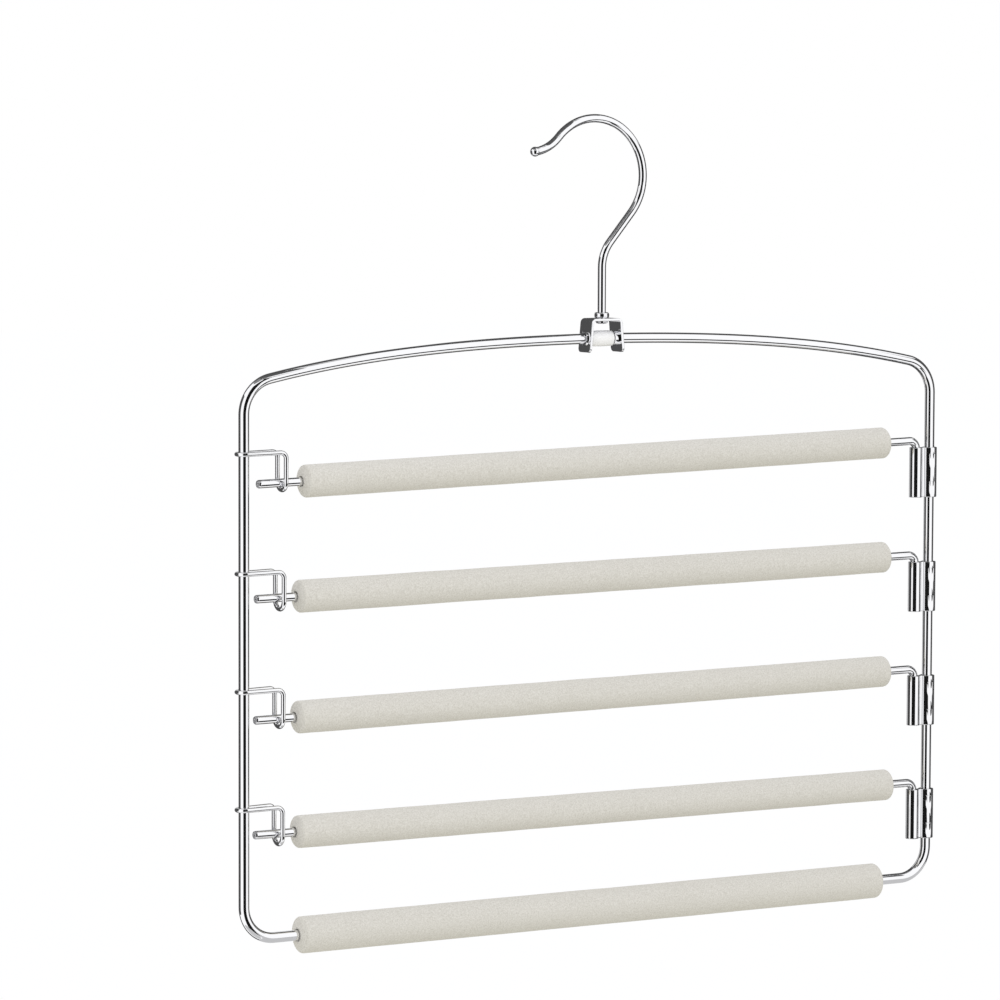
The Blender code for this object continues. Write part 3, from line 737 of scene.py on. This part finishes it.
def make_bush(half_inside, white):
    """The bush on the top wire between the saddle's legs, beside the rolled rim."""
    wire_hole = FRAME_WIRE / 2 + GAP
    bush = wire_hole + BUSH_WALL
    half_bush = half_inside - GAP - INNER_RIM_RISE / 2
    profile = [(-half_bush, wire_hole)]
    for step in range(BUSH_EDGE_STEPS + 1):
        angle = math.pi / 2 * step / BUSH_EDGE_STEPS
        profile.append((-half_bush + BUSH_EDGE * (1 - math.cos(angle)), bush - BUSH_EDGE * (1 - math.sin(angle))))
    for share in BUSH_CROWN_SHARES:
        profile.append((half_bush * share, bush + BUSH_CROWN * (1 - share ** 2)))
    profile += [(-along, size) for along, size in profile[-2::-1]]
    bm = bmesh.new()
    add_turned(bm, profile, (1, 0, 0), (SHANK_X - INNER_RIM_RISE / 2, 0, CROWN_Z))
    show("bush", closed_mesh(bm, "bush"), white, "saddle", "white_nylon", "saddle_bush")


def arch_fall(across):
    """How far the top wire lies below its crown, and its slope, at a distance from the middle."""
    share = across / (FRAME_WIDTH / 2)
    fall = ARCH_DROP * ((1 - ARCH_SQUARENESS) * share ** 2 + ARCH_SQUARENESS * share ** 4)
    rate = ARCH_DROP * (2 * (1 - ARCH_SQUARENESS) * share + 4 * ARCH_SQUARENESS * share ** 3)
    return fall, rate / (FRAME_WIDTH / 2)


def make_frame(chrome):
    """One closed loop: arch, shoulders, uprights, bottom corners and bottom run."""
    centre_x = FRAME_WIDTH / 2 - SHOULDER_RADIUS
    across = centre_x
    for _ in range(SLOPE_ROUNDS):
        slope = math.atan(arch_fall(across)[1])
        across = centre_x + SHOULDER_RADIUS * math.sin(slope)
    crown = Vector((SHANK_X, 0, CROWN_Z))
    fall = arch_fall(across)[0]
    arch = []
    for step in range(ARCH_STEPS + 1):
        place = across * (2 * step / ARCH_STEPS - 1)
        arch.append(crown + Vector((place, 0, -arch_fall(place)[0])))
    turn = math.pi / 2 - slope
    shoulder_z = -fall - SHOULDER_RADIUS * math.cos(slope)
    right = arc(crown + Vector((centre_x, 0, shoulder_z)), arch[-1], FRONT_TO_BACK, turn)[1:]
    left = arc(crown + Vector((-centre_x, 0, shoulder_z)), arch[0], FRONT_TO_BACK, -turn)[1:]
    corners = [(right[-1], 0), ((RIGHT_X, 0, BOTTOM_Z), BOTTOM_RADIUS),
               ((LEFT_X, 0, BOTTOM_Z), BOTTOM_RADIUS), (left[-1], 0)]
    path = arch + right + rounded_path(corners)[1:-1] + left[::-1]
    data = sweep("frame_wire", path, FRAME_WIRE, closed=True)
    show("frame_wire", data, chrome, "frame", "chrome_wire", "frame")


def make_catch(number, catch_x, cradle_z, chrome):
    """A wire stirrup: welded round the upright, out along both sides, and down under the stub."""
    rail_z = cradle_z + CATCH_DEPTH
    weld_z = rail_z - CATCH_RISE
    back_x = LEFT_X - WELD_HALF
    corners = [
        ((catch_x, -CATCH_HALF, rail_z), CATCH_BEND),
        ((catch_x, -CATCH_HALF, cradle_z), CATCH_HALF),
        ((catch_x, CATCH_HALF, cradle_z), CATCH_HALF),
        ((catch_x, CATCH_HALF, rail_z), CATCH_BEND),
        ((back_x, WELD_HALF, weld_z), WELD_HALF),
        ((back_x, -WELD_HALF, weld_z), WELD_HALF),
    ]
    path = rounded_path(corners, closed=True)
    path = [point for k, point in enumerate(path) if (point - path[k - 1]).length > POINT_GAP]
    name = f"catch_wire_{number}"
    data = sweep(name, path, CATCH_WIRE, closed=True, sides=CATCH_SIDES)
    show(name, data, chrome, "frame", "chrome_wire", f"catch_{number}")


def clip_path():
    """The clip's strip seen from above, about the pin's axis: half the barrel, web, wrap, web and half the barrel."""
    up = Vector((0, 0, 1))
    wrap = Vector((PIN_TO_UPRIGHT, 0, 0))
    valley = WEB_OFFSET + CLIP_BEND
    near = Vector((valley_run(BARREL_RADIUS), -valley, 0))
    far = wrap - Vector((valley_run(WRAP_RADIUS), valley, 0))
    near_behind = Vector((near.x, valley, 0))
    far_behind = Vector((far.x, valley, 0))
    barrel_lead = math.atan2(valley, near.x)
    wrap_lead = math.atan2(valley, valley_run(WRAP_RADIUS))
    half_seam = SEAM_GAP / 2 / BARREL_RADIUS
    first = SEAM_SIDE + half_seam
    start = Vector((math.cos(first), math.sin(first), 0)) * BARREL_RADIUS
    path = arc((0, 0, 0), start, up, 2 * math.pi - barrel_lead - first)
    path += arc(near, path[-1], up, barrel_lead - math.pi / 2)[1:]
    path += arc(far, far + Vector((0, CLIP_BEND, 0)), up, wrap_lead - math.pi / 2)
    path += arc(wrap, path[-1], up, 2 * (math.pi - wrap_lead))[1:]
    path += arc(far_behind, path[-1], up, wrap_lead - math.pi / 2)[1:]
    path += arc(near_behind, near_behind - Vector((0, CLIP_BEND, 0)), up, barrel_lead - math.pi / 2)
    path += arc((0, 0, 0), path[-1], up, SEAM_SIDE - half_seam - barrel_lead)[1:]
    return [Vector((point.x, point.y)) for point in path]


def strip_sides(path, thickness):
    """The left and right edges of a strip seen edge on, whose middle line is path."""
    left, right = [], []
    for number, point in enumerate(path):
        back = path[max(number - 1, 0)]
        ahead = path[min(number + 1, len(path) - 1)]
        along = ((point - back).normalized() + (ahead - point).normalized()).normalized()
        side = Vector((-along.y, along.x)) * thickness / 2
        left.append(point + side)
        right.append(point - side)
    return left, right


def flat_depth(point, centre, radius, flat):
    """How deep a flat, given by the side it faces and its half spread, lies below a round outside at a point."""
    side, spread = flat
    spoke = point - centre
    away = abs(math.atan2(spoke.y, spoke.x) % (2 * math.pi) - side)
    if abs(spoke.length - radius) > SKIN_TOLERANCE or away > spread:
        return 0.0
    return radius * (1 - math.cos(spread) / math.cos(away))


def clip_levels():
    """Heights down the clip with the rounding of its rims and how fully each height is crimped."""
    levels = []
    for step in range(CLIP_EDGE_STEPS + 1):
        angle = math.pi / 2 * step / CLIP_EDGE_STEPS
        levels.append((CLIP_EDGE * (1 - math.sin(angle)), CLIP_EDGE * (1 - math.cos(angle)), 0))
    levels = [(-height, inset, press) for height, inset, press in levels][::-1]
    for top in (-CRIMP_TO_TOP, -CLIP_HEIGHT + CRIMP_TO_BOTTOM + CRIMP_HEIGHT):
        levels += [(top - CRIMP_RAMP * away, 0, press) for away, press in CRIMP_SLOPE]
        levels += [(top - CRIMP_HEIGHT + CRIMP_FADE * away, 0, press) for away, press in CRIMP_SLOPE[::-1]]
    rim = levels[:CLIP_EDGE_STEPS + 1]
    levels += [(-CLIP_HEIGHT - height, inset, press) for height, inset, press in rim[::-1]]
    return levels


def make_clip(number, top_z, chrome):
    """A strip folded round the upright, its ends rolled round the pin, with two flat crimps on the upright."""
    path = clip_path()
    inner, outer = strip_sides(path, CLIP_SHEET)
    barrel = (Vector((0, 0)), BARREL_RADIUS + CLIP_SHEET / 2)
    wrap = (Vector((PIN_TO_UPRIGHT, 0)), WRAP_RADIUS + CLIP_SHEET / 2)
    flats = []
    for point in outer:
        rolled = flat_depth(point, *barrel, BARREL_FLAT) + flat_depth(point, *wrap, WRAP_FLAT)
        flats.append((rolled, flat_depth(point, *wrap, CRIMP_FLAT)))
    bm = bmesh.new()
    skins = []
    for height, inset, press in clip_levels():
        ring = []
        for in_point, out_point, (rolled, crimp) in zip(inner, outer, flats):
            inward = (in_point - out_point).normalized()
            place = out_point + inward * (inset + max(rolled, press * crimp))
            ring.append(bm.verts.new((PIN_X + place.x, place.y, top_z + height)))
        skins.append(ring)
    bores = []
    for height in (0, -CLIP_HEIGHT):
        bores.append([bm.verts.new((PIN_X + point.x, point.y, top_z + height)) for point in inner])
    for one, two in list(zip(skins, skins[1:])) + [bores, (bores[0], skins[0]), (skins[-1], bores[1])]:
        for k in range(len(path) - 1):
            bm.faces.new((one[k], one[k + 1], two[k + 1], two[k]))
    for end in (0, -1):
        bm.faces.new([bores[0][end]] + [ring[end] for ring in skins] + [bores[1][end]])
    name = f"clip_strip_{number}"
    show(name, closed_mesh(bm, name), chrome, "frame", "chrome_sheet", f"hinge_clip_{number}")


def foam_profile(length, bore, radius):
    """A sleeve's outside as (distance along, radius, how far it is cut open), from one hole to the other.

    Each end bulges past the cut, is rounded into the side and leaves a narrow mouth round the wire.
    """
    mouth = bore + FOAM_MOUTH
    lean = math.atan(2 * FOAM_BULGE / radius)
    rim = radius - FOAM_END_ROUND * (1 - math.sin(lean))
    left = [(FOAM_MOUTH_DEPTH, bore, 1), (FOAM_MOUTH_DEPTH * FOAM_MOUTH_SHARE, mouth, 1)]
    for step in range(FOAM_FACE_STEPS + 1):
        size = mouth + FOAM_LIP + (rim - mouth - FOAM_LIP) * step / FOAM_FACE_STEPS
        if step == 0:
            left.append((FOAM_LIP - FOAM_BULGE * (1 - (mouth / radius) ** 2), mouth, 1))
        left.append((-FOAM_BULGE * (1 - (size / radius) ** 2), size, 1))
    middle = left[-1][0] + FOAM_END_ROUND * math.cos(lean)
    for step in range(1, FOAM_END_STEPS + 1):
        angle = lean + (math.pi / 2 - lean) * step / FOAM_END_STEPS
        size = radius - FOAM_END_ROUND * (1 - math.sin(angle))
        left.append((middle - FOAM_END_ROUND * math.cos(angle), size, 1 - step / FOAM_END_STEPS))
    right = [(length - along, size, cut) for along, size, cut in left]
    count = math.ceil((length - 2 * middle) / FOAM_STEP)
    between = [(middle + (length - 2 * middle) * k / count, radius, 0) for k in range(1, count)]
    return left + between + right[::-1]


def make_foam_sleeve(name, wire, wall, low, high, tilt, material, body, node):
    """A foam tube on a wire from low to high, tilted about Y, with uneven skin and bulged ends."""
    bore = wire / 2 + SEAT_GAP
    radius = wire / 2 + wall
    profile = foam_profile((high - low).length, bore, radius)
    turn = Matrix.Translation(low) @ Matrix.Rotation(tilt, 4, "Y")
    offset = Vector(low) * FOAM_SHIFT
    verts, cuts, faces = [], [], []
    for along, size, cut in profile:
        for k in range(FOAM_SIDES):
            angle = 2 * math.pi * k / FOAM_SIDES
            spoke = Vector((0, math.cos(angle), math.sin(angle)))
            outer = min(1, max(0, (size - bore) / wall * 2))
            swell = Vector((along * FOAM_WAVES_ALONG, spoke.y * FOAM_WAVES_ROUND, spoke.z * FOAM_WAVES_ROUND))
            wave = noise.noise(swell + offset) * FOAM_WAVE
            grains = Vector((along, spoke.y * size, spoke.z * size)) * FOAM_GRAINS
            grain = noise.noise(grains + offset) * FOAM_GRAIN
            lift = (wave - FOAM_WAVE * 0.5 + grain) * outer
            verts.append(turn @ (Vector((along, 0, 0)) + spoke * (size + lift)))
            cuts.append(cut)
    rows = len(profile)
    for row in range(rows):
        after = (row + 1) % rows
        for k in range(FOAM_SIDES):
            side = (k + 1) % FOAM_SIDES
            faces.append((row * FOAM_SIDES + k, after * FOAM_SIDES + k,
                          after * FOAM_SIDES + side, row * FOAM_SIDES + side))
    data = bpy.data.meshes.new(name)
    data.from_pydata(verts, [], faces)
    data.attributes.new("cut", "FLOAT", "POINT").data.foreach_set("value", cuts)
    smooth(data, FOAM_SHARP)
    made = show(name, data, material, body, "foam", node)


def make_arm(number, elbow_z, drop, catch_x, chrome, foam):
    """A rod with its cut end and elbow, the pin below it and the rod's foam sleeve."""
    to_catch = math.hypot(PIN_X - catch_x, drop)
    tilt = math.atan2(drop, PIN_X - catch_x)
    along = Vector((-math.cos(tilt), 0, -math.sin(tilt)))
    corner = Vector((PIN_X, 0, elbow_z))
    stub_end = corner + along * (to_catch + STUB_PAST_CATCH)
    pin_top = elbow_z - ELBOW_RADIUS
    rod = rounded_path([(stub_end, 0), (corner, ELBOW_RADIUS), ((PIN_X, 0, pin_top - GAP), 0)])
    data = sweep(f"rod_{number}", rod, ARM_WIRE, start=ROD_CUT)
    show(f"rod_{number}", data, chrome, f"arm_{number}", "chrome_wire", f"arm_rod_{number}")
    clip_bottom = elbow_z - ELBOW_RISE - CLIP_HEIGHT
    pin = [Vector((PIN_X, 0, pin_top + GAP)), Vector((PIN_X, 0, clip_bottom + PIN_RECESS))]
    data = sweep(f"pin_{number}", pin, ARM_WIRE * PIN_SLIMMING, end=PIN_CUT)
    show(f"pin_{number}", data, chrome, f"arm_{number}_pin", "chrome_wire", f"arm_pin_{number}")
    low = corner + along * (to_catch - SLEEVE_TO_CATCH[number - 1])
    high = corner + along * SLEEVE_TO_PIN[number - 1]
    make_foam_sleeve(f"arm_foam_{number}", ARM_WIRE, ARM_FOAM_WALL, low, high, -tilt, foam,
                     f"arm_{number}", f"arm_sleeve_{number}")


def make_camera():
    """The photograph's camera."""
    data = bpy.data.cameras.new("camera")
    data.lens = LENS
    data.sensor_width = SENSOR
    data.clip_end = 2 * FLOOR_SIZE
    camera = bpy.data.objects.new("camera", data)
    bpy.context.scene.collection.objects.link(camera)
    aim = Matrix.Rotation(YAW, 4, "Z") @ Matrix.Rotation(PITCH, 4, "X") @ Matrix.Rotation(ROLL, 4, "Y")
    camera.matrix_world = Matrix.Translation(CAMERA_PLACE) @ aim @ Matrix.Rotation(math.pi / 2, 4, "X")
    bpy.context.scene.camera = camera


def seen_rays(nodes, links):
    """A value of 1 for camera, glossy and transmission rays, which see the white background, and 0 for others."""
    rays = nodes.new("ShaderNodeLightPath").outputs
    bounced = calculate(nodes, links, "MAXIMUM", rays["Is Glossy Ray"], rays["Is Transmission Ray"])
    return calculate(nodes, links, "MAXIMUM", rays["Is Camera Ray"], bounced)


def make_world():
    """White behind everything, and an even soft light on the object."""
    world = bpy.data.worlds.new("studio")
    bpy.context.scene.world = world
    world.use_nodes = True
    nodes, links = world.node_tree.nodes, world.node_tree.links
    background = nodes["Background"]
    background.inputs["Color"].default_value = WHITE
    level = map_range(nodes, links, seen_rays(nodes, links), 0, 1, WORLD_LEVEL, 1)
    links.new(level, background.inputs["Strength"])


def make_floor():
    """A pale floor that looks white, with the object's shadow on it."""
    bm = bmesh.new()
    bmesh.ops.create_grid(bm, x_segments=1, y_segments=1, size=FLOOR_SIZE / 2)
    data = bpy.data.meshes.new("floor")
    bm.to_mesh(data)
    bm.free()
    material, nodes, links = new_material("floor_pale")
    shader = nodes["Principled BSDF"]
    shader.inputs["Roughness"].default_value = 1
    shader.inputs["Specular IOR Level"].default_value = 0
    shader.inputs["Base Color"].default_value = FLOOR_COLOUR
    shader.inputs["Emission Color"].default_value = FLOOR_GLOW
    glow = map_range(nodes, links, seen_rays(nodes, links), 0, 1, 0, FLOOR_GLOW_LEVEL)
    links.new(glow, shader.inputs["Emission Strength"])
    data.materials.append(material)
    floor = bpy.data.objects.new("floor", data)
    floor.location.z = FLOOR_Z
    bpy.context.scene.collection.objects.link(floor)


def make_glow(name, level, fade):
    """A card's even glow, which clears towards its borders over the soft share of each span."""
    material, nodes, links = new_material(name)
    nodes.remove(nodes["Principled BSDF"])
    glow = nodes.new("ShaderNodeEmission")
    glow.inputs["Strength"].default_value = level
    clear = nodes.new("ShaderNodeBsdfTransparent")
    blend = nodes.new("ShaderNodeMixShader")
    split = nodes.new("ShaderNodeSeparateXYZ")
    links.new(nodes.new("ShaderNodeTexCoord").outputs["UV"], split.inputs["Vector"])
    share = 1
    for axis, soft in zip(("X", "Y"), fade):
        from_border = calculate(nodes, links, "PINGPONG", split.outputs[axis], 0.5)
        edge = nodes.new("ShaderNodeMapRange")
        edge.interpolation_type = "SMOOTHSTEP"
        edge.inputs["From Max"].default_value = max(soft, HARD_EDGE)
        links.new(from_border, edge.inputs["Value"])
        share = calculate(nodes, links, "MULTIPLY", share, edge.outputs["Result"])
    links.new(share, blend.inputs["Fac"])
    links.new(clear.outputs[0], blend.inputs[1])
    links.new(glow.outputs[0], blend.inputs[2])
    links.new(blend.outputs[0], nodes["Material Output"].inputs["Surface"])
    return material


def make_panel(name, turn, rise, level, fade, reach=CARD_REACH, centre=STUDIO_CENTRE, lean=0):
    """A card that only reflections see: part of a sphere round a centre, soft at its borders.

    turn is its span to the right of the camera's side and rise its span above the horizon, in degrees.
    fade gives the soft share of each span, and lean turns the card about its middle.
    """
    steps = CARD_STEPS
    toward = math.atan2(CAMERA_PLACE.y, CAMERA_PLACE.x)
    verts, faces, spots = [], [], []
    middle = Vector((sum(turn) / 2, sum(rise) / 2))
    tip = Matrix.Rotation(math.radians(lean), 2)
    for row in range(steps + 1):
        for column in range(steps + 1):
            share = Vector((column / steps - 0.5, row / steps - 0.5))
            spot = middle + tip @ Vector((share.x * (turn[1] - turn[0]), share.y * (rise[1] - rise[0])))
            aside = toward + math.radians(spot.x)
            up = math.radians(spot.y)
            spoke = Vector((math.cos(aside) * math.cos(up), math.sin(aside) * math.cos(up), math.sin(up)))
            verts.append(centre + spoke * reach)
            spots.append((column / steps, row / steps))
    for row in range(steps):
        for column in range(steps):
            one = row * (steps + 1) + column
            faces.append((one, one + 1, one + steps + 2, one + steps + 1))
    data = bpy.data.meshes.new(name)
    data.from_pydata(verts, [], faces)
    layer = data.uv_layers.new(name="UVMap")
    flat = [value for face in faces for vert in face for value in spots[vert]]
    layer.data.foreach_set("uv", flat)
    data.materials.append(make_glow(name, level, fade))
    panel = bpy.data.objects.new(name, data)
    bpy.context.scene.collection.objects.link(panel)
    panel.visible_camera = False
    panel.visible_diffuse = False
    panel.visible_transmission = False
    panel.visible_volume_scatter = False
    panel.visible_shadow = False


def make_lamp():
    """One large soft lamp above and in front, which reflections don't see."""
    data = bpy.data.lights.new("soft_lamp", "AREA")
    data.size = LAMP_SIZE
    data.energy = LAMP_POWER
    lamp = bpy.data.objects.new("soft_lamp", data)
    bpy.context.scene.collection.objects.link(lamp)
    direction = LAMP_SIDE.normalized()
    lamp.location = STUDIO_CENTRE + direction * LAMP_REACH
    lamp.rotation_euler = direction.to_track_quat("Z", "Y").to_euler()
    lamp.visible_camera = False
    lamp.visible_glossy = False


def make_studio():
    """Camera, floor, light and the cards that the chrome reflects: a bright dome with dark cards in front of it."""
    make_camera()
    make_world()
    make_floor()
    make_lamp()
    make_panel("soft_dome", (-180, 180), (-89, 89), 1.10, (0, 0), DOME_REACH)
    # In front: the dark line along the middle of the wires and clips
    make_panel("card_front", (-23, 31), (-50, 47), 0.010, (0.01, 0.02))
    make_panel("card_front_right", (30, 35), (-50, 20), 0.010, (0.02, 0.02))
    make_panel("card_neck", (10, 45), (40, 46), 0.010, (0.1, 0.15), lean=-34)
    make_panel("card_neck_low", (30, 38), (22, 37), 0.010, (0.1, 0.1))
    make_panel("card_low_right", (35, 62), (-57, -27), 0.01, (0.03, 0.06))
    # Behind: the dark edges of the wires, with a paler gap in the middle for views from the back
    make_panel("card_behind_right", (93, 191), (-31, 31), 0.08, (0.03, 0))
    make_panel("card_behind_middle", (191, 220), (-31, 31), 0.60, (0.1, 0))
    make_panel("card_behind_left", (220, 296), (-31, 31), 0.08, (0.03, 0))
    make_panel("card_behind_high", (117, 270), (31, 89), 0.08, (0.03, 0))
    make_panel("card_behind_top", (100, 121), (64, 89), 0.08, (0.02, 0.02))
    make_panel("card_behind_low", (105, 270), (-89, -31), 0.07, (0.03, 0))
    # Above: the grey bands on slanting wires, and below to the right: the line under the arch
    make_panel("card_above_left", (-110, 0), (54, 66), 0.25, (0.02, 0.05))
    make_panel("card_above_right", (0, 40), (54, 66), 0.08, (0.02, 0.05))
    make_panel("card_above_high", (-110, 40), (66, 89), 0.10, (0.02, 0))
    make_panel("card_above_taper", (38, 64), (68, 89), 0.30, (0.25, 0.25))
    make_panel("card_line", (48, 95), (-38, -17), 0.01, (0.1, 0.04), LINE_REACH)
    # Near the bottom corners: grey cards that soften what these reflect of the low dark ones
    for side, x in (("left", LEFT_X + BOTTOM_RADIUS / 2), ("right", RIGHT_X - BOTTOM_RADIUS / 2)):
        corner = Vector((x, 0, BOTTOM_Z))
        make_panel(f"card_{side}_corner", (45, 200), (-89, -8), 0.60, (0.05, 0.05), CORNER_REACH, corner)
        make_panel(f"card_{side}_under", (-80, 45), (-89, -36), 0.60, (0, 0.05), CORNER_REACH, corner)


def main():
    """Makes every piece and the studio round it."""
    bpy.context.scene.view_settings.view_transform = "Standard"
    wire = make_chrome("chrome_drawn", DRAWN_LIGHT, DRAWN_DARK, DRAWN_ROUGH)
    sheet = make_chrome("chrome_rolled", ROLLED_LIGHT, ROLLED_DARK, ROLLED_ROUGH)
    foam = make_foam()
    white = make_nylon()
    make_hook(wire)
    make_bush(make_saddle(sheet), white)
    make_frame(wire)
    low = Vector((LEFT_X + BOTTOM_RADIUS + SLEEVE_TO_CORNERS[0], 0, BOTTOM_Z))
    high = Vector((RIGHT_X - BOTTOM_RADIUS - SLEEVE_TO_CORNERS[1], 0, BOTTOM_Z))
    make_foam_sleeve("bottom_foam", FRAME_WIRE, FRAME_FOAM_WALL, low, high, 0, foam, "frame", "bottom_sleeve")
    for tier, (drop, reach, hang) in enumerate(zip(ARM_DROP, CATCH_REACH, CATCH_HANG)):
        number = tier + 1
        elbow_z = CROWN_Z - FIRST_TIER_DROP - tier * TIER_PITCH
        catch_x = LEFT_X + reach
        make_clip(number, elbow_z - ELBOW_RISE, sheet)
        make_catch(number, catch_x, elbow_z - drop - ARM_WIRE / 2 - hang - CATCH_WIRE / 2, wire)
        make_arm(number, elbow_z, drop, catch_x, wire, foam)
    make_studio()


main()
